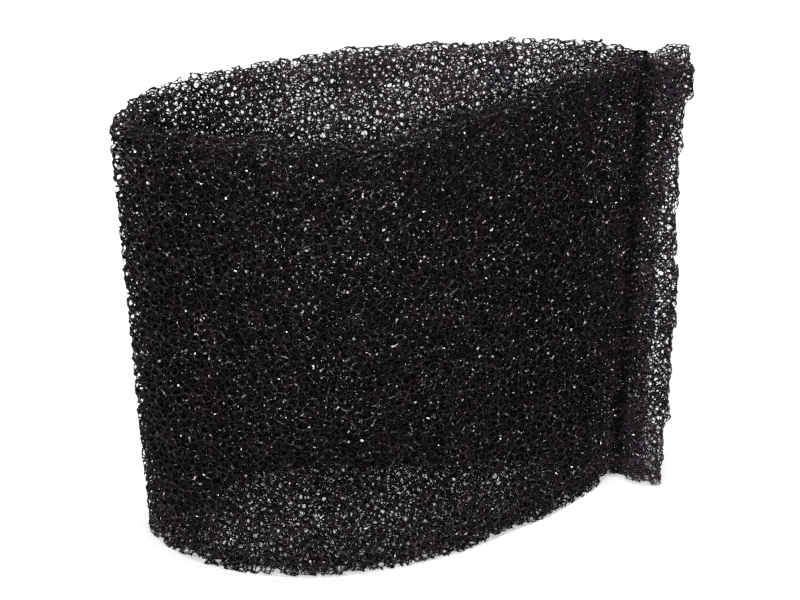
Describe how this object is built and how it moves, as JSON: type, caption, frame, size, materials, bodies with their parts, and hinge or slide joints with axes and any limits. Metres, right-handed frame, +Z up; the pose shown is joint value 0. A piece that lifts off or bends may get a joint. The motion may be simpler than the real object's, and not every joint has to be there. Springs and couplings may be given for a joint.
{
  "type": "foam air filter sleeve",
  "caption": "Open-ended sleeve of coarse black open-cell foam: one strip bent round a nose, its ends bonded face to face in a fin seam, standing on its lower rim.",
  "frame": {"origin": "middle of the sleeve's plan outline, on the plane of the lower rim (Z = 0)", "axes": "+Z up the sleeve's height, from the lower rim to the upper rim; +X from the nose towards the fin seam; -Y towards the fuller side"},
  "size_m": [0.1324, 0.055, 0.1195],
  "materials": {
    "foam": "open-cell polyurethane foam, glossy struts",
    "adhesive": "cured flexible adhesive, satin"
  },
  "bodies": {
    "root": {"foam_sleeve": "foam", "seam_bond": "adhesive"}
  },
  "joints": []
}
